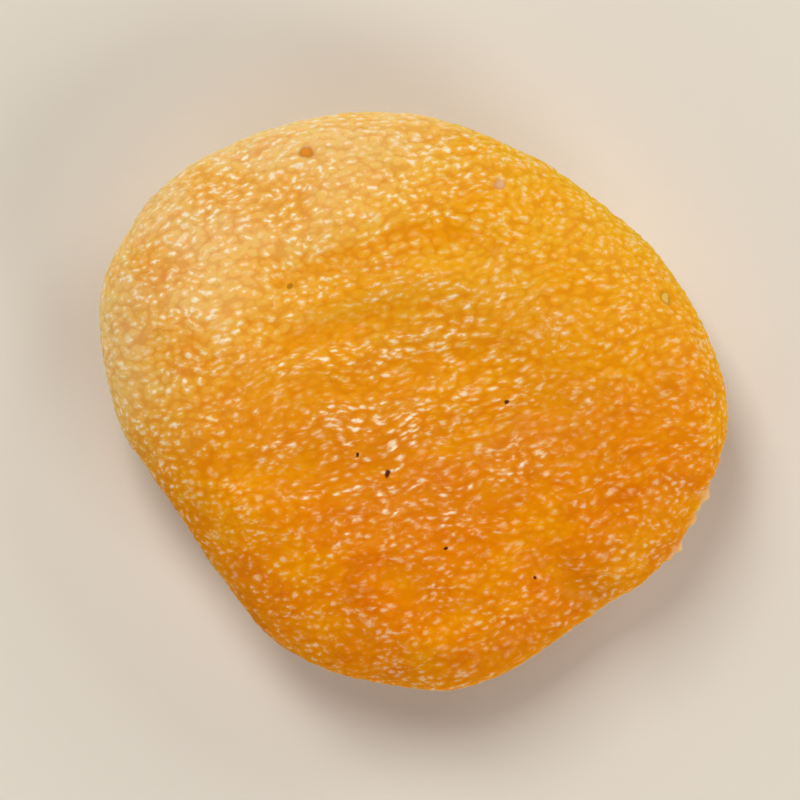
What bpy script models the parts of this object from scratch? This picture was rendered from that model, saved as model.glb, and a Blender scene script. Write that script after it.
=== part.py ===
"""A whole dried apricot: one pitted fruit, dried flat, lying on its broad side.

It grew as one piece, so it is one solid. X runs from the tip of the fruit to its stem end, Y across it
and Z up. The origin is under the middle of the fruit, on the surface that it lies on.
"""

import math
from typing import NamedTuple

import bmesh
import bpy
from mathutils import Vector, noise

MM = 0.001
NAME = "dried_apricot"


class Fold(NamedTuple):
    """A valley of the skin along points in mm, with its width and depth in mm."""

    points: tuple
    width: float
    depth: float


# Overall size, which the finished form is brought to exactly
LENGTH = 40.3 * MM
WIDTH = 34.9 * MM
THICKNESS = 12.0 * MM

# Outline seen from above: reach from the middle at sixteen even angles, anticlockwise from the stem end
OUTLINE_QUARTERS = (
    (18.2, 19.3, 18.4, 17.4),
    (17.4, 18.1, 18.8, 19.9),
    (19.6, 17.5, 15.2, 14.8),
    (16.2, 16.8, 17.1, 16.7),
)
OUTLINE = [reach * MM for quarter in OUTLINE_QUARTERS for reach in quarter]

# Plump section: an ellipse has all three powers at 2, and more fills out its shoulders
UPPER_RISE = 5.7 * MM
LOWER_RISE = 5.6 * MM
UPPER_SHOULDER = 2.7
LOWER_SHOULDER = 2.1
EDGE_ROUNDNESS = 2.15

# The fruit is thicker on the side away from the stem end, and bent a little out of flat
WEDGE = 0.11
WEDGE_TOWARDS = math.radians(140)
BEND = 0.9 * MM
BEND_TOWARDS = math.radians(35)
BEND_SPAN = 20 * MM

# Hollow in the upper side, where the flesh sank when the stone was pressed out
HOLLOW_AT = Vector((1.2, 1.2)) * MM
HOLLOW_HALF_LENGTH = 12.0 * MM
HOLLOW_HALF_WIDTH = 9.0 * MM
HOLLOW_TURN = math.radians(24)
HOLLOW_DEPTH = 1.8 * MM
HOLLOW_FLATNESS = 1.4

# Shallower hollow of the underside, off to one side of the spot that it rests on
UNDER_HOLLOW_AT = Vector((8.0, -7.0)) * MM
UNDER_HOLLOW_RADIUS = 5.0 * MM
UNDER_HOLLOW_DEPTH = 0.8 * MM

# Folds, each with a rounded crest to the right of its valley as it runs
UPPER_FOLDS = (
    Fold(((-13.4, 3.4), (-9.8, 4.9), (-7.2, 7.2), (-4.4, 9.9), (-0.6, 11.4), (3.2, 11.2)), 1.3, 0.60),
    Fold(((-12.0, 1.2), (-8.2, 1.9), (-5.4, 3.4), (-3.0, 5.6)), 1.2, 0.36),
    Fold(((-6.6, -1.0), (-2.6, 0.6), (0.4, 3.6), (4.2, 5.0)), 1.2, 0.34),
    Fold(((0.4, -2.4), (3.4, -0.6), (6.4, 3.0), (10.6, 4.4)), 1.2, 0.38),
    Fold(((15.2, 3.4), (14.0, 7.0), (11.2, 9.8)), 1.2, 0.36),
    Fold(((1.6, -8.9), (5.2, -10.1), (9.6, -9.4)), 1.2, 0.36),
    Fold(((-9.6, -7.4), (-6.2, -6.6), (-2.8, -4.2)), 1.2, 0.34),
    Fold(((17.6, -6.4), (13.4, -6.2), (10.2, -4.2)), 1.3, 0.40),
)
LOWER_FOLDS = (
    Fold(((19.0, -1.0), (14.0, -0.6), (9.4, 1.4), (5.6, 4.6)), 1.3, 0.65),
    Fold(((-17.0, -4.0), (-12.6, -2.0), (-8.4, -2.6)), 1.2, 0.50),
    Fold(((2.0, -15.6), (1.0, -11.4), (3.2, -8.2)), 1.2, 0.50),
    Fold(((-6.0, 15.6), (-5.6, 11.0), (-7.8, 7.6)), 1.2, 0.50),
    Fold(((12.6, 12.4), (9.6, 9.0), (4.4, 8.0)), 1.2, 0.45),
    Fold(((-12.4, 10.6), (-10.2, 6.8), (-11.0, 3.0)), 1.2, 0.40),
)
FOLD_FADE = 0.25
CREST_SHARE = 0.65
CREST_OFFSET = 1.7
CREST_WIDTH = 1.2

# Shrinkage wrinkles: rounded crests between sharp valleys, highest in the hollow and on the underside
WRINKLE_TURN = math.radians(44)
WRINKLE_PITCH = 3.1 * MM
WRINKLE_RUN = 11 * MM
WRINKLE_SWAY = 2.4 * MM
SWAY_SIZE = 8 * MM
WRINKLE_HEIGHT = 0.30 * MM
WRINKLE_MEAN = 0.2
WRINKLE_AT_RIM = 0.35
WRINKLE_BELOW = 0.80

# Uneven plumpness of the whole skin, in broad lumps and in small puckers
LUMP_SIZE = 7.5 * MM
LUMP_HEIGHT = 0.34 * MM
PUCKER_SIZE = 3.4 * MM
PUCKER_HEIGHT = 0.13 * MM
PUCKER_SHIFT = Vector((3, 1, 7))

# Seam of the fruit: a shallow groove round the -Y side of its edge, from the tip to the mouth
SEAM_DEPTH = 0.75 * MM
SEAM_WIDTH = 0.85 * MM
SEAM_SWAY = 0.9 * MM
SEAM_SWAY_SHIFT = 5
SEAM_START = (-178, -160)
SEAM_END = (-12, -30)

# Closed mouth at the stem end, where the stone came out, and its swollen lips
MOUTH_LENGTH = 12.5 * MM
MOUTH_FULL_SHARE = 0.55
MOUTH_DEPTH = 2.1 * MM
MOUTH_WIDTH = 0.6 * MM
MOUTH_SWAY = 0.45 * MM
MOUTH_SWAY_TURNS = 0.8
LIP_HEIGHT = 0.4 * MM
LIP_LEVEL = 1.7 * MM
LIP_WIDTH = 1.0 * MM

# Scar of the stem, a small pit with a raised rim below the mouth
SCAR_AT = math.radians(-24)
SCAR_LEVEL = -2.5 * MM
SCAR_RADIUS = 2.0 * MM
SCAR_DEPTH = 0.65 * MM
SCAR_RIM_HEIGHT = 0.2 * MM
SCAR_RIM_RADIUS = 2.3 * MM
SCAR_RIM_WIDTH = 0.7 * MM

# Slight point at the tip
TIP_LEVEL = 0.4 * MM
TIP_RADIUS = 2.2 * MM
TIP_HEIGHT = 0.3 * MM

# Spot under the weight that the fruit lies on, where its skin is pressed smooth and its lowest part flat
REST_AT = Vector((-0.3, 0.8)) * MM
REST_RADIUS = 6.0 * MM
PRESSED = 0.25 * MM

# Relief of one side only fades in over these heights of the surface's normal
SIDE_STARTS = 0.15
SIDE_FULL = 0.75

# Cells of the skin across the fruit, in line with its wrinkles, and up its edge, smallest halfway up
CELLS_ACROSS = 40
CELLS_ROUND_EDGE = 12
EDGE_BAND = math.radians(32)
EDGE_CROWDING = 1.4

FLESH_COLOUR = (0.78, 0.33, 0.035, 1.0)
FLESH_ROUGHNESS = 0.42


def clear_scene():
    for old in list(bpy.data.objects):
        bpy.data.objects.remove(old, do_unlink=True)


def smooth_step(start, full, value):
    share = min(max((value - start) / (full - start), 0.0), 1.0)
    return share * share * (3.0 - 2.0 * share)


def bell(distance, width):
    return math.exp(-((distance / width) ** 2))


def turned(place, angle):
    """How far a place is along a direction, and how far to the left of it."""
    along = place.x * math.cos(angle) + place.y * math.sin(angle)
    across = place.y * math.cos(angle) - place.x * math.sin(angle)
    return along, across


def outline_reach(angle):
    """Closed Catmull-Rom curve through the reaches of the outline."""
    count = len(OUTLINE)
    place = (angle / math.tau % 1.0) * count
    first = int(place) % count
    t = place - int(place)
    before, here, there, after = (OUTLINE[(first + step) % count] for step in (-1, 0, 1, 2))
    slope = there - before
    curve = 2 * before - 5 * here + 4 * there - after
    twist = 3 * (here - there) + after - before
    return here + 0.5 * t * (slope + t * (curve + t * twist))


def plain_body(corner):
    """Point of the smooth cushion for a point of the divided cube, whose edges run from -1 to 1."""
    x = corner.x * math.sqrt(1 - corner.y ** 2 / 2)
    y = corner.y * math.sqrt(1 - corner.x ** 2 / 2)
    angle = math.atan2(y, x) + WRINKLE_TURN
    share = min(math.hypot(x, y) * math.cos(EDGE_BAND * abs(corner.z) ** EDGE_CROWDING), 1.0)
    place = Vector((math.cos(angle), math.sin(angle))) * outline_reach(angle) * share
    rise = UPPER_RISE if corner.z > 0 else -LOWER_RISE
    shoulder = UPPER_SHOULDER if corner.z > 0 else LOWER_SHOULDER
    height = rise * (1 - share ** shoulder) ** (1 / EDGE_ROUNDNESS)
    thicker = 1 + WEDGE * turned(place, WEDGE_TOWARDS)[0] / (LENGTH / 2)
    bent = BEND * (turned(place, BEND_TOWARDS)[0] / BEND_SPAN) ** 2
    return Vector((place.x, place.y, height * thicker + bent))


def hollow(point):
    """0 outside the upper hollow, 1 over most of its floor."""
    along, across = turned(point.xy - HOLLOW_AT, HOLLOW_TURN)
    away = (along / HOLLOW_HALF_LENGTH) ** 2 + (across / HOLLOW_HALF_WIDTH) ** 2
    return math.exp(-(away ** HOLLOW_FLATNESS))


def fold_height(spot, fold):
    """Valley along the fold's points and a crest on its right-hand side, both fading out at the ends."""
    path = [Vector(point) * MM for point in fold.points]
    nearest, side, run, gone = LENGTH, 1.0, 0.0, 0.0
    for start, end in zip(path, path[1:]):
        length = (end - start).length
        way = (end - start) / length
        offset = spot - start
        along = min(max(offset.dot(way), 0.0), length)
        distance = (offset - way * along).length
        if distance < nearest:
            nearest = distance
            side = 1.0 if way.x * offset.y < way.y * offset.x else -1.0
            run = gone + along
        gone += length
    share = run / gone
    fade = smooth_step(0.0, FOLD_FADE, share) * smooth_step(0.0, FOLD_FADE, 1.0 - share)
    width = fold.width * MM
    crest = CREST_SHARE * bell(nearest * side - CREST_OFFSET * width, CREST_WIDTH * width)
    return fold.depth * MM * fade * (crest - bell(nearest, width))


def wrinkles(point):
    """Rounded crests between sharp valleys that run mostly one way."""
    along, across = turned(point, WRINKLE_TURN)
    across += noise.noise(point / SWAY_SIZE) * WRINKLE_SWAY
    place = Vector((along / WRINKLE_RUN, across / WRINKLE_PITCH, point.z / WRINKLE_PITCH))
    return abs(noise.noise(place)) - WRINKLE_MEAN


def seam(point):
    """Groove round the edge, on the -Y side only."""
    angle = math.atan2(point.y, point.x)
    level = SEAM_SWAY * noise.noise(Vector((2 * math.cos(angle), 2 * math.sin(angle), SEAM_SWAY_SHIFT)))
    reach = smooth_step(*SEAM_START, math.degrees(angle)) * smooth_step(*SEAM_END, math.degrees(angle))
    return -SEAM_DEPTH * reach * bell(point.z - level, SEAM_WIDTH)


def mouth(point):
    """Slit across the stem end, with a lip above and below it."""
    if point.x < 0:
        return 0.0
    reach = smooth_step(1.0, MOUTH_FULL_SHARE, abs(point.y) / (MOUTH_LENGTH / 2))
    level = MOUTH_SWAY * math.sin(math.tau * MOUTH_SWAY_TURNS * point.y / MOUTH_LENGTH)
    from_slit = abs(point.z - level)
    lips = LIP_HEIGHT * bell(from_slit - LIP_LEVEL, LIP_WIDTH)
    return reach * (lips - MOUTH_DEPTH * bell(from_slit, MOUTH_WIDTH))


def stem_scar(point):
    middle = Vector((math.cos(SCAR_AT), math.sin(SCAR_AT), 0)) * outline_reach(SCAR_AT)
    middle.z = SCAR_LEVEL
    away = (point - middle).length
    rim = SCAR_RIM_HEIGHT * bell(away - SCAR_RIM_RADIUS, SCAR_RIM_WIDTH)
    return rim - SCAR_DEPTH * math.exp(-((away / SCAR_RADIUS) ** 3))


def tip(point):
    middle = Vector((-outline_reach(math.pi), 0, TIP_LEVEL))
    return TIP_HEIGHT * bell((point - middle).length, TIP_RADIUS)


def relief(point, normal):
    """How far the skin stands out of the smooth cushion, along its normal."""
    upper = smooth_step(SIDE_STARTS, SIDE_FULL, normal.z)
    lower = smooth_step(SIDE_STARTS, SIDE_FULL, -normal.z)
    sunk = hollow(point) * upper
    height = -HOLLOW_DEPTH * sunk
    height -= UNDER_HOLLOW_DEPTH * lower * bell((point.xy - UNDER_HOLLOW_AT).length, UNDER_HOLLOW_RADIUS)
    height += upper * sum(fold_height(point.xy, fold) for fold in UPPER_FOLDS)
    height += lower * sum(fold_height(point.xy, fold) for fold in LOWER_FOLDS)
    wrinkled = WRINKLE_AT_RIM + (1 - WRINKLE_AT_RIM) * sunk + (WRINKLE_BELOW - WRINKLE_AT_RIM) * lower
    wrinkled *= 1 - lower * bell((point.xy - REST_AT).length, REST_RADIUS)
    height += WRINKLE_HEIGHT * wrinkled * wrinkles(point)
    height += LUMP_HEIGHT * noise.noise(point / LUMP_SIZE)
    height += PUCKER_HEIGHT * noise.noise(point / PUCKER_SIZE + PUCKER_SHIFT)
    return height + seam(point) + mouth(point) + stem_scar(point) + tip(point)


def cushion_mesh():
    """Even four-sided cells over the whole cushion, from a divided cube whose points are moved onto it."""
    cage = bmesh.new()
    bmesh.ops.create_cube(cage, size=2)
    for upright, cells in ((False, CELLS_ACROSS), (True, CELLS_ROUND_EDGE)):
        edges = [e for e in cage.edges if (abs(e.verts[0].co.z - e.verts[1].co.z) > 1) == upright]
        bmesh.ops.subdivide_edges(cage, edges=edges, cuts=cells - 1, use_grid_fill=True)
    for corner in cage.verts:
        corner.co = plain_body(corner.co)
    bmesh.ops.recalc_face_normals(cage, faces=cage.faces[:])
    return cage


def raise_relief(cage):
    cage.normal_update()
    moved = [point.co + point.normal * relief(point.co, point.normal) for point in cage.verts]
    for point, place in zip(cage.verts, moved):
        point.co = place


def lay_down(cage):
    """Bring the fruit to its size, centre it, and press its lowest part flat at Z 0."""
    extents = list(zip(*(point.co for point in cage.verts)))
    low = Vector([min(extent) for extent in extents])
    high = Vector([max(extent) for extent in extents])
    low.z += PRESSED
    middle = (low + high) / 2
    size = high - low
    for point in cage.verts:
        point.co.x = (point.co.x - middle.x) * LENGTH / size.x
        point.co.y = (point.co.y - middle.y) * WIDTH / size.y
        point.co.z = max((point.co.z - low.z) * THICKNESS / size.z, 0.0)


def flesh_material():
    flesh = bpy.data.materials.new("apricot_flesh")
    flesh.use_nodes = True
    shader = flesh.node_tree.nodes["Principled BSDF"]
    shader.inputs["Base Color"].default_value = FLESH_COLOUR
    shader.inputs["Roughness"].default_value = FLESH_ROUGHNESS
    shader.inputs["Metallic"].default_value = 0.0
    flesh.diffuse_color = FLESH_COLOUR
    return flesh


def build_apricot():
    cage = cushion_mesh()
    raise_relief(cage)
    lay_down(cage)
    bmesh.ops.triangulate(cage, faces=cage.faces[:])
    mesh = bpy.data.meshes.new(NAME)
    cage.to_mesh(mesh)
    cage.free()
    mesh.shade_smooth()
    mesh.materials.append(flesh_material())
    fruit = bpy.data.objects.new(NAME, mesh)
    collection = bpy.data.collections.new(NAME)
    bpy.context.scene.collection.children.link(collection)
    collection.objects.link(fruit)


clear_scene()
build_apricot()
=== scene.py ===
# %% [markdown]
# # The skin of a dried apricot
#
# The solid that this lesson starts from already has the fruit's plan, its thick rim, the hollow in its top,
# its larger folds, the slit that the stone came out of and the scar of the stalk. What it lacks is what the
# eye meets first: a skin that shrank while the flesh dried, in small beads along the rim and in short
# streaks across the hollow, with pale flecks on them, painted highlights that are partly dry tops, over flesh
# that light sinks into.
#
# The first cell loads the solid. The skin has to end up as large as the solid.

# %% Load the solid
import math

import bmesh
import bpy
from mathutils import Matrix, Vector
from mathutils.bvhtree import BVHTree


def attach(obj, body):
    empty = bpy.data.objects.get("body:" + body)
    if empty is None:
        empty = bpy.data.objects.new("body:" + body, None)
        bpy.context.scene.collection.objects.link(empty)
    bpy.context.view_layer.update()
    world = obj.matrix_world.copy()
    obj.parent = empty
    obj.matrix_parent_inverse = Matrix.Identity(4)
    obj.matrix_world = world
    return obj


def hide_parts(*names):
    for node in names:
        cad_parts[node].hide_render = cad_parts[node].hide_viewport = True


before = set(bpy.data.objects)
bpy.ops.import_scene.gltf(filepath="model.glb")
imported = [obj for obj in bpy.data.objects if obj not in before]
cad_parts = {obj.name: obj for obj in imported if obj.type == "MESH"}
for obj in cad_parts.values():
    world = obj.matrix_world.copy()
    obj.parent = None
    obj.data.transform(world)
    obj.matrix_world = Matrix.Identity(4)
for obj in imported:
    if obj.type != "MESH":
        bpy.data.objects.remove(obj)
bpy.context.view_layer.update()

MM = 0.001
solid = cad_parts["dried_apricot"]

# %% [markdown]
# ## The camera
#
# The fruit is seen from straight above. A long lens from nearly half a metre keeps the sides from leaning
# out, as they don't lean in a picture taken from above a table. The fruit lies turned in the picture, so the
# camera turns about the upright axis by as much. The picture's side is measured at half the fruit's height,
# where its outline is.

# %% Camera from straight above
PICTURE_TURN = math.radians(22.5)
PICTURE_SIDE = 50.5 * MM
CAMERA_HEIGHT = 0.45
OUTLINE_HEIGHT = 6 * MM
SENSOR = 36.0

camera_data = bpy.data.cameras.new("camera")
camera_data.sensor_width = SENSOR
camera_data.lens = SENSOR * (CAMERA_HEIGHT - OUTLINE_HEIGHT) / PICTURE_SIDE
camera_data.clip_start = 0.01
camera_data.clip_end = 10
camera = bpy.data.objects.new("camera", camera_data)
camera.matrix_world = Matrix.Translation((0, 0, CAMERA_HEIGHT)) @ Matrix.Rotation(PICTURE_TURN, 4, "Z")
bpy.context.scene.collection.objects.link(camera)
bpy.context.scene.camera = camera
print("lens, mm:", round(camera_data.lens))

# %% [markdown]
# ## A helper for nodes and one for colours
#
# The relief is a graph of nodes, and so is each finish. One helper adds a node of any kind to either: it sets
# the node up, fills its inputs, links those that come from another node and hands back one of its outputs.
# The kinds that come often get short names. A mix node takes two numbers at its inputs 2 and 3, or two
# colours at 6 and 7. A range node turns a step in one value to a smooth step in another: its four numbers say
# where the first one starts and ends, and what the second one is there. Colours are written as they are
# picked on a screen, in sRGB, and turned to linear light.

# %% Helpers for node graphs
MATH = "ShaderNodeMath"
VECTOR = "ShaderNodeVectorMath"
MIX = "ShaderNodeMix"
RANGE = "ShaderNodeMapRange"
SMOOTH = {"interpolation_type": "SMOOTHSTEP"}


def linear(code):
    """A hex colour as screens show it, in linear light."""
    parts = [int(code[k:k + 2], 16) / 255 for k in (1, 3, 5)]
    return (*[p / 12.92 if p <= 0.04045 else ((p + 0.055) / 1.055) ** 2.4 for p in parts], 1.0)


def add(tree, kind, *values, sockets=None, output=0, **settings):
    """Adds a node and returns one of its outputs.

    The values go to its first inputs in order, and those in sockets to the inputs with that name or number.
    Each is a plain value or the output of another node.
    """
    made = tree.nodes.new(kind)
    for name, value in settings.items():
        setattr(made, name, value)
    for key, value in [*enumerate(values), *(sockets or {}).items()]:
        if isinstance(value, bpy.types.NodeSocket):
            tree.links.new(value, made.inputs[key])
        else:
            made.inputs[key].default_value = value
    return made.outputs[output] if made.outputs else None


print("middle grey in linear light:", round(linear("#808080")[0], 3))

# %% [markdown]
# ## A finer mesh from the solid
#
# The solid's triangles are about 1 mm wide, as wide as a bead, so the mesh has to be several times as fine.
# Subdivision works best on quads: the triangles are welded, paired up into quads and subdivided three times.
# Starting from the solid itself, and not from a new shape, keeps the skin in its place. The edges of the
# triangles would show on the upper side, so that side is smoothed once first.

# %% Weld and pair up
WELD = 0.001 * MM
PAIRING = math.radians(60)
FACES_UP = 0.4


def quad_cage(name, source):
    """The source's faces without its shading data, welded and with its triangles paired up into quads."""
    mesh = bpy.data.meshes.new(name)
    mesh.from_pydata([v.co for v in source.vertices], [], [p.vertices for p in source.polygons])
    cage = bmesh.new()
    cage.from_mesh(mesh)
    bmesh.ops.remove_doubles(cage, verts=cage.verts, dist=WELD)
    bmesh.ops.join_triangles(
        cage, faces=cage.faces, angle_face_threshold=PAIRING, angle_shape_threshold=PAIRING
    )
    cage.to_mesh(mesh)
    cage.free()
    mesh.shade_smooth()
    return mesh


def shown(name, mesh):
    """A new object in the scene."""
    made = bpy.data.objects.new(name, mesh)
    bpy.context.scene.collection.objects.link(made)
    return made


skin = shown("apricot_skin", quad_cage("apricot_skin", solid.data))
upper = skin.vertex_groups.new(name="upper side")
upper.add([v.index for v in skin.data.vertices if v.normal.z > FACES_UP], 1.0, "REPLACE")
quads = sum(len(p.vertices) == 4 for p in skin.data.polygons)
print("cage faces:", len(skin.data.polygons), "of them quads:", quads)

# %% [markdown]
# ## Beads and streaks
#
# A drying skin has too much area for the flesh under it, so it crumples: into beads about half a millimetre
# wide on the rim, and into short streaks in the hollow. Both are longer one way, because the fruit shrinks
# more across its fibres than along them. They come from a Voronoi texture, whose cells are as irregular as
# real ones, with a dome in each. Every pattern here is sampled in coordinates that are divided by the size
# that its features should have in millimetres, so the sizes can be read from the code.
#
# The domes are used twice, in the graph that moves the points and in the skin's finish, so the pale tops of
# the beads lie on the beads.

# %% A dome in every cell
BEAD = (0.64, 0.43, 0.47)
STREAK = (0.70, 0.38, 0.44)
DOME_REACH = 0.85
CELLS = "ShaderNodeTexVoronoi"
NOISE = "ShaderNodeTexNoise"
NOISE_MIDDLE = 0.5


def pattern(tree, kind, place, size, detail=2.0, output=0):
    """A texture whose features have this size in millimetres. The place is in millimetres too."""
    place = add(tree, VECTOR, place, size, operation="DIVIDE")
    return add(tree, kind, place, sockets={"Scale": 1.0, "Detail": detail}, output=output)


def domes(tree, place, hollow):
    """1 on top of each bead, 0 between them. The beads are stretched to streaks where hollow is 1."""
    kinds = []
    for size in (BEAD, STREAK):
        away = pattern(tree, CELLS, place, size, detail=0.0, output="Distance")
        kinds.append(add(tree, RANGE, away, 0.0, DOME_REACH, 1.0, 0.0, **SMOOTH))
    beads, streaks = kinds
    return add(tree, MIX, hollow, sockets={2: beads, 3: streaks})


print("beads on a square millimetre:", round(1 / (BEAD[0] * BEAD[1]), 1))

# %% [markdown]
# ## Crumbs at the slit
#
# On the upper lip of the slit that the stone came out of, some flesh has dried to pale crumbs. Each crumb is
# given by its turn from the fruit's long axis in degrees, its height above the floor in millimetres and its
# radius. A line drawn inwards from there finds the place on the fruit's edge.

# %% Find the places of the crumbs
FAR = 50.0
CRUMBS = ((5.0, 7.9, 0.8), (2.8, 7.5, 0.6), (0.2, 7.7, 0.65), (-5.6, 7.6, 0.7), (-7.4, 7.1, 0.6))
CRUMB_HEIGHT = 0.38
surface_of_solid = BVHTree.FromObject(solid, bpy.context.evaluated_depsgraph_get())


def on_edge(turn, height):
    """The place of the edge, in millimetres, at this turn and height."""
    way = Vector((math.cos(math.radians(turn)), math.sin(math.radians(turn)), 0.0))
    start = (way * FAR + Vector((0.0, 0.0, height))) * MM
    return tuple(surface_of_solid.ray_cast(start, -way)[0] / MM)


crumbs = [(on_edge(turn, height), radius) for turn, height, radius in CRUMBS]
print("crumbs, mm:", [tuple(round(v, 1) for v in place) for place, radius in crumbs])

# %% [markdown]
# ## The height of the skin
#
# The places of the points are turned to the way that the streaks run and drift, so the rows bend as they do
# where flesh dried unevenly. The hollow is an ellipse about its own middle, and its reach upwards is so long
# that height doesn't count. The height of the skin is then the sum of the domes, of narrow and of wide waves
# under them and of the crumbs.

# %% Place, hollow and height
STREAK_TURN = math.radians(36)
DRIFT_SIZE = (4.0, 4.0, 4.0)
DRIFT = (1.4, 1.4, 1.4)
HOLLOW_MIDDLE = (2.0, -0.4, 0.0)
HOLLOW_REACH = (13.0, 10.0, 1000.0)
HOLLOW_EDGE = (0.4, 1.05)
DOME_HEIGHT = 0.09
WAVES = (((2.0, 0.8, 0.9), 0.14), ((3.6, 2.4, 2.6), 0.14))


def drifted(tree, plain):
    """The place in millimetres, drifted and turned to the way of the streaks."""
    drift = pattern(tree, NOISE, plain, DRIFT_SIZE, detail=1.0, output="Color")
    place = add(tree, VECTOR, drift, DRIFT, plain, operation="MULTIPLY_ADD")
    turn = {"Angle": -STREAK_TURN}
    return add(tree, "ShaderNodeVectorRotate", place, sockets=turn, rotation_type="Z_AXIS")


def share_of_hollow(tree, place):
    """1 in the middle of the fruit, 0 on its rim."""
    away = add(tree, VECTOR, place, HOLLOW_MIDDLE, operation="SUBTRACT")
    away = add(tree, VECTOR, away, HOLLOW_REACH, operation="DIVIDE")
    away = add(tree, VECTOR, away, output="Value", operation="LENGTH")
    return add(tree, RANGE, away, *HOLLOW_EDGE, 1.0, 0.0, **SMOOTH)


def height_of_skin(tree, plain, place, hollow):
    """How far the skin stands above the solid, in metres."""
    height = add(tree, MATH, domes(tree, place, hollow), DOME_HEIGHT, operation="MULTIPLY")
    for size, tall in WAVES:
        wave = pattern(tree, NOISE, place, size, detail=0.0)
        wave = add(tree, MATH, wave, NOISE_MIDDLE, operation="SUBTRACT")
        height = add(tree, MATH, wave, tall, height, operation="MULTIPLY_ADD")
    for middle, radius in crumbs:
        away = add(tree, VECTOR, plain, middle, output="Value", operation="DISTANCE")
        crumb = add(tree, RANGE, away, 0.0, radius, CRUMB_HEIGHT, 0.0, **SMOOTH)
        height = add(tree, MATH, height, crumb, operation="ADD")
    return add(tree, MATH, height, MM, operation="MULTIPLY")


print("heights of beads and waves, mm:", DOME_HEIGHT, [tall for size, tall in WAVES])

# %% [markdown]
# ## Raise the skin
#
# Geometry nodes move every point along its normal by that height. The fruit lies on its own weight, so
# nothing goes below the surface that it lies on: what would, is pressed flat.
#
# The finish needs to know more than a point's place, so three values are stored with the points: the drifted
# place, the share of the hollow, and the crest. The crest is how far a point stands above the average of the
# skin within about a millimetre. Folds that stand out catch the light, so the flecks, painted highlights that
# are partly pale skin that dried first, lie thickest on them, and the valleys between them stay smooth and
# bright, so the crest says where the flecks lie.

# %% The graph that moves the points
CREST_STEPS = 120
LOWEST = (-1.0, -1.0, 0.0)
STORE = "GeometryNodeStoreNamedAttribute"
MOVE = "GeometryNodeSetPosition"


def relief_graph():
    """The nodes that raise the skin and store what its finish needs to know."""
    tree = bpy.data.node_groups.new("skin_relief", "GeometryNodeTree")
    for way in ("INPUT", "OUTPUT"):
        tree.interface.new_socket("Geometry", in_out=way, socket_type="NodeSocketGeometry")
    shape = add(tree, "NodeGroupInput")
    now = add(tree, "GeometryNodeInputPosition")
    outward = add(tree, "GeometryNodeInputNormal")

    plain = add(tree, VECTOR, now, sockets={"Scale": 1 / MM}, operation="SCALE")
    place = drifted(tree, plain)
    hollow = share_of_hollow(tree, place)
    height = height_of_skin(tree, plain, place, hollow)
    for name, kind, value in (("skin_place", "FLOAT_VECTOR", place), ("hollow", "FLOAT", hollow)):
        shape = add(tree, STORE, shape, sockets={"Name": name, "Value": value}, data_type=kind)
    offset = add(tree, VECTOR, outward, sockets={"Scale": height}, operation="SCALE")
    shape = add(tree, MOVE, shape, sockets={"Offset": offset})

    steps = {"Iterations": CREST_STEPS}
    around = add(tree, "GeometryNodeBlurAttribute", now, sockets=steps, data_type="FLOAT_VECTOR")
    crest = add(tree, VECTOR, now, around, operation="SUBTRACT")
    crest = add(tree, VECTOR, crest, outward, output="Value", operation="DOT_PRODUCT")
    crest = add(tree, MATH, crest, 1 / MM, operation="MULTIPLY")
    shape = add(tree, STORE, shape, sockets={"Name": "crest", "Value": crest}, data_type="FLOAT")

    pressed = add(tree, VECTOR, now, LOWEST, operation="MAXIMUM")
    shape = add(tree, MOVE, shape, sockets={"Position": pressed})
    add(tree, "NodeGroupOutput", shape)
    return tree


relief = relief_graph()
print("nodes in the relief:", len(relief.nodes))

# %% [markdown]
# ## From cage to skin
#
# The steps are a stack of modifiers, in the order in which they work: smooth, subdivide, raise, and then take
# away the points that a nearly flat stretch doesn't need, down to a fixed number of triangles. The stack is
# applied at once, so what is shown is plain mesh.

# %% Stack and apply the modifiers
MOST_TRIANGLES = 190000
SUBDIVISIONS = 3


def stack(piece, kind, name, **settings):
    """Adds a modifier with its settings."""
    made = piece.modifiers.new(name, kind)
    for key, value in settings.items():
        setattr(made, key, value)


def settle(piece):
    """Applies the piece's modifiers."""
    now = piece.evaluated_get(bpy.context.evaluated_depsgraph_get())
    piece.data = bpy.data.meshes.new_from_object(now)
    piece.modifiers.clear()


stack(skin, "SMOOTH", "calmer", factor=0.5, iterations=1, vertex_group=upper.name)
stack(skin, "SUBSURF", "finer", levels=SUBDIVISIONS, render_levels=SUBDIVISIONS)
stack(skin, "NODES", "relief", node_group=relief)
settle(skin)
stack(skin, "DECIMATE", "fewer", ratio=MOST_TRIANGLES / (2 * len(skin.data.polygons)))
settle(skin)
skin.data.shade_smooth()
print("skin triangles:", sum(len(p.vertices) - 2 for p in skin.data.polygons))

# %% [markdown]
# ## Marks on the skin
#
# Few dried fruits are without a blemish: dark specks of scab, small spots where a twig rubbed, pale crumbs at
# the slit and a brown pit where the stalk was. Each mark is a place and a radius in millimetres, a colour and
# how much of it covers the flesh. The places on the upper side are found by dropping a line onto the skin. A
# spot is two marks, a wider one for its ring and a smaller one inside.

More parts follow.
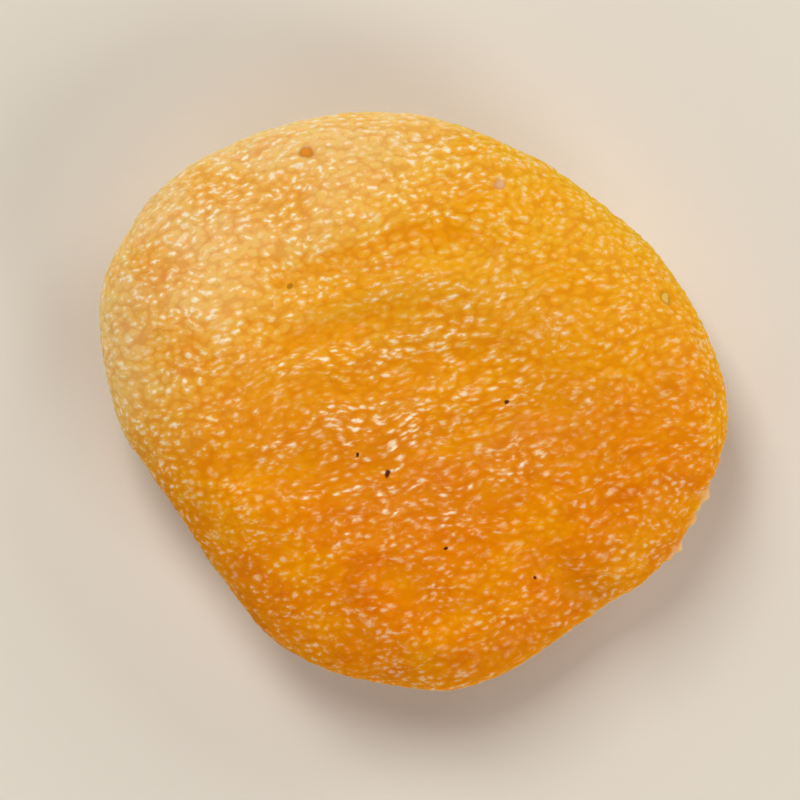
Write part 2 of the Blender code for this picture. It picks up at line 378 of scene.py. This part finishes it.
# %% Find the marks' places
FROM_ABOVE = 50.0
DARK = ("#5E1404", 0.97)
BROWN = ("#A87018", 0.7)
SPECKS = (
    (1.0, -4.6, 0.25, *DARK),
    (6.2, 2.5, 0.18, *DARK),
    (6.2, -7.5, 0.18, *DARK),
    (12.0, -7.0, 0.16, *DARK),
    (-1.1, -4.2, 0.16, *DARK),
    (-9.0, 4.0, 0.22, *BROWN),
)
RING_RADIUS = 0.55
RING_SHARE = 0.8
INNER_RADIUS = 0.34
INNER_SHARE = 0.95
CRUMB_TINT = ("#EEC690", 0.65)
SCAR = ((18.0, -8.0, -2.5), 1.9, "#8A4A18", 0.75)
SPOTS = (
    (-11.4, 12.1, "#C87C12", "#EA962A"),
    (0.6, 14.9, "#DCA468", "#E4B488"),
    (12.9, 12.3, "#C88C1C", "#EAC05C"),
)
surface_of_skin = BVHTree.FromObject(skin, bpy.context.evaluated_depsgraph_get())


def on_top(x, y):
    """The highest place of the skin there, in millimetres."""
    hit = surface_of_skin.ray_cast(Vector((x, y, FROM_ABOVE)) * MM, Vector((0, 0, -1)))[0]
    return tuple(hit / MM)


marks = [(on_top(x, y), radius, code, most) for x, y, radius, code, most in SPECKS]
for x, y, ring, inner in SPOTS:
    marks.append((on_top(x, y), RING_RADIUS, ring, RING_SHARE))
    marks.append((on_top(x, y), INNER_RADIUS, inner, INNER_SHARE))
for middle, radius in crumbs:
    marks.append((middle, radius, *CRUMB_TINT))
marks.append(SCAR)
print("marks:", len(marks))

# %% [markdown]
# ## The colour of the flesh
#
# Sulphur keeps an apricot from browning while it dries, so it stays a clear orange. The colour is laid up in
# layers. Each has a field, the values between which it fades in, how much of it covers at most, and a colour:
# deeper orange in the hollow, spots where clear flesh looks deeper still, painted light as yellow towards the
# window's side, partly the sunlit side's own colour, a pale yellow towards one end of the rim on the window's
# side and less of it below, partly the skin's own pale colour and partly a painted sheen, yellow mottles, a
# few reddish fibres, bright valleys and painted shade in the gaps between the beads.

# %% Layers of colour
# Painted light: the side towards the window is painted yellower, partly the sunlit side's own colour and
# partly the light that falls on it.
SUN_AND_LIT_SIDE = (-0.50, 0.866, 0.0)
SUN_AND_LIT_SPAN = (-14, 15)
# Painted sheen: the end of the rim towards the window is painted pale and fades out below, partly the skin's
# own pale colour and partly the sheen of the light on it.
CREAM_AND_SHEEN_SIDE = (-0.90, 0.42, 0.0)
CREAM_AND_SHEEN_SPAN = (-2, 17)
UPWARDS = (0.0, 0.0, 1.0)
CREAM_AND_SHEEN_HEIGHTS = (0, 8)
BASE = "#EA8E04"
MOTTLE = (6.0, 4.5, 4.5)
FIBRE = (8.0, 1.5, 1.5)
CLEAR = (2.4, 1.2, 1.4)


def across(tree, plain, way, low, high):
    """Goes from 0 to 1 across the fruit, between two distances from its middle in millimetres."""
    distance = add(tree, VECTOR, plain, way, output="Value", operation="DOT_PRODUCT")
    return add(tree, RANGE, distance, low, high, **SMOOTH)


def laid_over(tree, colour, layers):
    """The colour with layers over it. Each layer is how much it covers, from 0 to 1, and its hex colour."""
    for share, code in layers:
        colour = add(tree, MIX, share, sockets={6: colour, 7: linear(code)}, output=2, data_type="RGBA")
    return colour


def colour_of_flesh(tree, place, hollow, sun_and_lit_side, cream_and_sheen, crest, dome):
    """The flesh with all its layers, before flecks and marks."""
    layers = []
    for field, low, high, most, code in (
        (hollow, 0.0, 1.0, 0.85, "#E28208"),
        (pattern(tree, NOISE, place, CLEAR), 0.5, 0.34, 0.5, "#DA7404"),
        # painted light: yellower towards the window's side, partly the sunlit side's own colour
        (sun_and_lit_side, 0.0, 1.0, 1.0, "#F1B426"),
        # painted sheen, partly the skin's own pale colour: two pale layers at the window's end of the rim
        (cream_and_sheen, 0.3, 0.8, 0.6, "#F4C458"),
        (cream_and_sheen, 0.6, 1.0, 0.9, "#F6CE82"),
        (pattern(tree, NOISE, place, MOTTLE), 0.45, 0.68, 0.6, "#F4AC06"),
        (pattern(tree, NOISE, place, FIBRE), 0.5, 0.75, 0.25, "#E07806"),
        (crest, 0.01, -0.08, 0.6, "#F2A208"),
        # painted shade: darker orange in the gaps between the beads
        (dome, 0.3, 0.0, 0.27, "#DA7404"),
    ):
        layers.append((add(tree, RANGE, field, low, high, 0.0, most, **SMOOTH), code))
    return laid_over(tree, linear(BASE), layers)


print("base colour in linear light:", [round(part, 3) for part in linear(BASE)[:3]])

# %% [markdown]
# ## Pale flecks
#
# Small pale flecks are painted highlights: they stand for the glints on the beads, and partly for dry sugar
# on their tops. They lie on the tops of the beads, broken up by a
# fine noise and joined here and there by threads, which are where another noise crosses its middle value. The
# real threads are finer than a pixel of the picture, so they are drawn a little coarser. The flecks come in
# clouds, are thickest on the crests, in the hollow and at the pale end of the rim on the window's side, where
# the painted highlights are densest, and have a milky edge and a brighter core.

# %% Flecks on the beads
FUZZ = (0.42, 0.25, 0.28)
FUZZ_STREAK = (0.62, 0.22, 0.27)
STRAND = (1.5, 0.7, 0.8)
STRAND_WIDTH = 0.05
DOME_SHARE = 0.85
FUZZ_SHARE = 2.4
STRAND_SHARE = 0.2
CLOUD_IN_HAZE = (0.36, 0.56, 0.4, 1.0)
CLOUD_ON_CREST = (-0.06, 0.05, 0.3, 1.0)
CLOUD_ON_OPEN_SIDE = (0.8, 1.0, 0.0, 0.85)
# Painted highlight colours of the flecks, partly pale dry tops: a milky edge and a near-white core.
MILK = "#F4BE74"
MILK_STEPS = (0.1, 0.8, 0.1, 0.5)
CORE = "#FFEECE"
CORE_STEPS = (0.4, 1.15, 0.4, 1.0)


def height_of_flecks(tree, place, hollow, dome):
    """High where a fleck lies."""
    on_beads = pattern(tree, NOISE, place, FUZZ)
    on_streaks = pattern(tree, NOISE, place, FUZZ_STREAK)
    fuzz = add(tree, MIX, hollow, sockets={2: on_beads, 3: on_streaks})
    fuzz = add(tree, MATH, fuzz, NOISE_MIDDLE, operation="SUBTRACT")
    strand = pattern(tree, NOISE, place, STRAND, detail=1.0)
    strand = add(tree, MATH, strand, NOISE_MIDDLE, operation="SUBTRACT")
    strand = add(tree, MATH, strand, operation="ABSOLUTE")
    strand = add(tree, RANGE, strand, 0.0, STRAND_WIDTH, STRAND_SHARE, 0.0, **SMOOTH)
    height = add(tree, MATH, dome, DOME_SHARE, operation="MULTIPLY")
    height = add(tree, MATH, fuzz, FUZZ_SHARE, height, operation="MULTIPLY_ADD")
    return add(tree, MATH, height, strand, operation="ADD")


def fleck_shares(tree, height, haze, crest, open_side):
    """How much of the milky edge and of the core covers the flesh."""
    cloud = add(tree, RANGE, haze, *CLOUD_IN_HAZE, **SMOOTH)
    on_crest = add(tree, RANGE, crest, *CLOUD_ON_CREST, **SMOOTH)
    cloud = add(tree, MATH, cloud, on_crest, operation="MULTIPLY")
    on_open_side = add(tree, RANGE, open_side, *CLOUD_ON_OPEN_SIDE, **SMOOTH)
    cloud = add(tree, MATH, cloud, on_open_side, operation="MAXIMUM")
    shares = []
    for low, high, least, most in (MILK_STEPS, CORE_STEPS):
        share = add(tree, RANGE, height, low, high, **SMOOTH)
        share = add(tree, MATH, share, cloud, operation="MULTIPLY")
        limit = add(tree, RANGE, open_side, 0.0, 1.0, least, most, **SMOOTH)
        shares.append(add(tree, MATH, share, limit, operation="MULTIPLY"))
    return shares


print("flecks, mm:", FUZZ[0], "long and", FUZZ[1], "wide")

# %% [markdown]
# ## Marks with ragged edges
#
# A mark covers what is nearer to its place than its radius, and fades out across its edge. A noise shifts the
# places first, so no mark is a perfect circle.

# %% Lay the marks over the flesh
RAGGED_SIZE = (0.7, 0.7, 0.7)
RAGGED = (0.4, 0.4, 0.4)
FADE_FROM = 0.6
FADE_TO = 1.1


def marked(tree, flesh, plain):
    """The flesh with the marks over it."""
    shift = pattern(tree, NOISE, plain, RAGGED_SIZE, detail=0.0, output="Color")
    shift = add(tree, VECTOR, shift, (NOISE_MIDDLE, NOISE_MIDDLE, NOISE_MIDDLE), operation="SUBTRACT")
    place = add(tree, VECTOR, shift, RAGGED, plain, operation="MULTIPLY_ADD")
    layers = []
    for middle, radius, code, most in marks:
        away = add(tree, VECTOR, place, middle, output="Value", operation="DISTANCE")
        share = add(tree, RANGE, away, FADE_FROM * radius, FADE_TO * radius, most, 0.0, **SMOOTH)
        layers.append((share, code))
    return laid_over(tree, flesh, layers)


print("largest mark, radius in mm:", max(radius for middle, radius, code, most in marks))

# %% [markdown]
# ## Sulphured apricot skin
#
# The real one: the skin and flesh of a sulphured apricot, dried to a soft leather and full of sugar syrup.
# Light goes in, spreads a millimetre or two and comes out more orange, except at the flecks, which send it
# back as paper does. A thin coat with the refractive index of syrup lies mostly on the flecks and gives them
# a small glint. Its bump follows the domes, which are already there in the mesh.

# %% The skin's finish
HAZE = (3.6, 2.0, 2.4)
OPEN_IN_HOLLOW = (0.0, 0.45, 0.0, 0.8)
SPREAD = 1.6 * MM
SPREAD_BY_CORE = (0.0, 0.6, 0.9, 0.1)
COAT_BY_CORE = (0.0, 0.6, 0.08, 0.7)
GLINT_HEIGHT = 0.085 * MM
GLINT_BY_HAZE = (0.36, 0.6, 0.45, 1.0)
SYRUP_IOR = 1.45
STORED = "ShaderNodeAttribute"


def sulphured_skin():
    """The skin's material, from its flesh outwards to the coat."""
    material = bpy.data.materials.new("sulphured_apricot_skin")
    material.use_nodes = True
    tree = material.node_tree
    tree.nodes.clear()
    plain = add(tree, "ShaderNodeTexCoord", output="Object")
    plain = add(tree, VECTOR, plain, sockets={"Scale": 1 / MM}, operation="SCALE")
    place = add(tree, STORED, output="Vector", attribute_name="skin_place")
    hollow = add(tree, STORED, output="Fac", attribute_name="hollow")
    crest = add(tree, STORED, output="Fac", attribute_name="crest")
    dome = domes(tree, place, hollow)
    haze = pattern(tree, NOISE, place, HAZE)
    # painted light: 0 to 1 towards the window's side, partly the sunlit side's own colour
    sun_and_lit_side = across(tree, plain, SUN_AND_LIT_SIDE, *SUN_AND_LIT_SPAN)
    # painted sheen: pale towards the window's end of the rim and on its upper side, partly the skin's own
    # pale colour
    cream_and_sheen = across(tree, plain, CREAM_AND_SHEEN_SIDE, *CREAM_AND_SHEEN_SPAN)
    cream_and_sheen = add(tree, MATH, cream_and_sheen, across(tree, plain, UPWARDS, *CREAM_AND_SHEEN_HEIGHTS), operation="MULTIPLY")

    flesh = colour_of_flesh(tree, place, hollow, sun_and_lit_side, cream_and_sheen, crest, dome)
    flecks = height_of_flecks(tree, place, hollow, dome)
    open_side = add(tree, RANGE, hollow, *OPEN_IN_HOLLOW, **SMOOTH)
    open_side = add(tree, MATH, cream_and_sheen, open_side, operation="MAXIMUM")
    # painted highlights: how much of the flecks' milky edge and bright core covers the flesh, partly pale dry
    # tops
    milk, core = fleck_shares(tree, flecks, haze, crest, open_side)
    flesh = laid_over(tree, flesh, [(milk, MILK), (core, CORE)])
    flesh = marked(tree, flesh, plain)

    glints = add(tree, "ShaderNodeBump", sockets={
        "Height": dome,
        "Strength": add(tree, RANGE, haze, *GLINT_BY_HAZE, **SMOOTH),
        "Distance": GLINT_HEIGHT,
    })
    surface = add(tree, "ShaderNodeBsdfPrincipled", sockets={
        "Base Color": flesh,
        "Roughness": 0.5,
        "IOR": SYRUP_IOR,
        "Specular IOR Level": 0.0,
        "Subsurface Weight": add(tree, RANGE, core, *SPREAD_BY_CORE, **SMOOTH),
        "Subsurface Radius": (1.0, 0.36, 0.13),
        "Subsurface Scale": SPREAD,
        "Coat Weight": add(tree, RANGE, core, *COAT_BY_CORE, **SMOOTH),
        "Coat Roughness": 0.12,
        "Coat IOR": SYRUP_IOR,
        "Coat Normal": glints,
    }, subsurface_method="RANDOM_WALK")
    add(tree, "ShaderNodeOutputMaterial", surface)
    return material


skin.data.materials.clear()
skin.data.materials.append(sulphured_skin())
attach(skin, "root")
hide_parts("dried_apricot")
print("nodes in the skin's finish:", len(skin.data.materials[0].node_tree.nodes))

# %% [markdown]
# ## A pale floor and soft studio light
#
# The floor is a plain pale disc, far wider than any view of the fruit. Matt white card gives the eye nothing
# but the fruit's soft shadow. The light comes from high on the picture's upper side, as from a window, so
# that side of each fold is brighter. Four low lights all round and surroundings that are pale near the
# horizon fill the shadows without a reflection on what faces up.

# %% Floor, lights and surroundings
FLOOR_RADIUS = 1.6
LOW_LIGHTS = ((45, 2.0), (135, 0.8), (225, 1.0), (315, 3.4))
LOW_LIGHT_RISE = 0.62
LOW_LIGHT_SIDE = 0.4
HORIZON = 0.22
ZENITH = 0.05
HORIZON_TO_ZENITH = (0.05, 0.6, HORIZON, ZENITH)


def matt_card():
    """The floor's material."""
    material = bpy.data.materials.new("matt_white_card")
    material.use_nodes = True
    tree = material.node_tree
    tree.nodes.clear()
    card = {"Base Color": linear("#E6E1D8"), "Roughness": 0.8}
    surface = add(tree, "ShaderNodeBsdfPrincipled", sockets=card)
    add(tree, "ShaderNodeOutputMaterial", surface)
    return material


def soft_light(name, way, distance, width, height, watts):
    """A rectangular light that looks at the fruit from the side of the picture that way points to."""
    data = bpy.data.lights.new(name, "AREA")
    data.shape = "RECTANGLE"
    data.size = width
    data.size_y = height
    data.energy = watts
    data.color = linear("#FFFAF2")[:3]
    light = bpy.data.objects.new(name, data)
    towards = Matrix.Rotation(PICTURE_TURN, 3, "Z") @ Vector(way).normalized()
    aim = towards.to_track_quat("Z", "Y").to_matrix().to_4x4()
    light.matrix_world = Matrix.Translation(towards * distance) @ aim
    bpy.context.scene.collection.objects.link(light)


floor_mesh = bpy.data.meshes.new("floor")
disc = bmesh.new()
bmesh.ops.create_circle(disc, cap_ends=True, segments=96, radius=FLOOR_RADIUS)
disc.to_mesh(floor_mesh)
disc.free()
floor = shown("floor", floor_mesh)
floor.data.materials.append(matt_card())

soft_light("window", (-0.42, 0.91, 1.6), distance=0.7, width=0.22, height=0.40, watts=2.65)
for turn, watts in LOW_LIGHTS:
    way = (math.cos(math.radians(turn)), math.sin(math.radians(turn)), LOW_LIGHT_RISE)
    soft_light(f"low_light_{turn}", way, 0.9, LOW_LIGHT_SIDE, LOW_LIGHT_SIDE, watts)

world = bpy.data.worlds.new("surroundings")
world.use_nodes = True
sky = world.node_tree
way_seen = add(sky, "ShaderNodeTexCoord", output="Generated")
level = add(sky, "ShaderNodeSeparateXYZ", way_seen, output="Z")
brightness = add(sky, RANGE, level, *HORIZON_TO_ZENITH, **SMOOTH)
sky.links.new(brightness, sky.nodes["Background"].inputs["Strength"])
sky.nodes["Background"].inputs["Color"].default_value = linear("#F4F2EE")
bpy.context.scene.world = world
bpy.context.scene.view_settings.view_transform = "Standard"
print("lights:", 1 + len(LOW_LIGHTS))
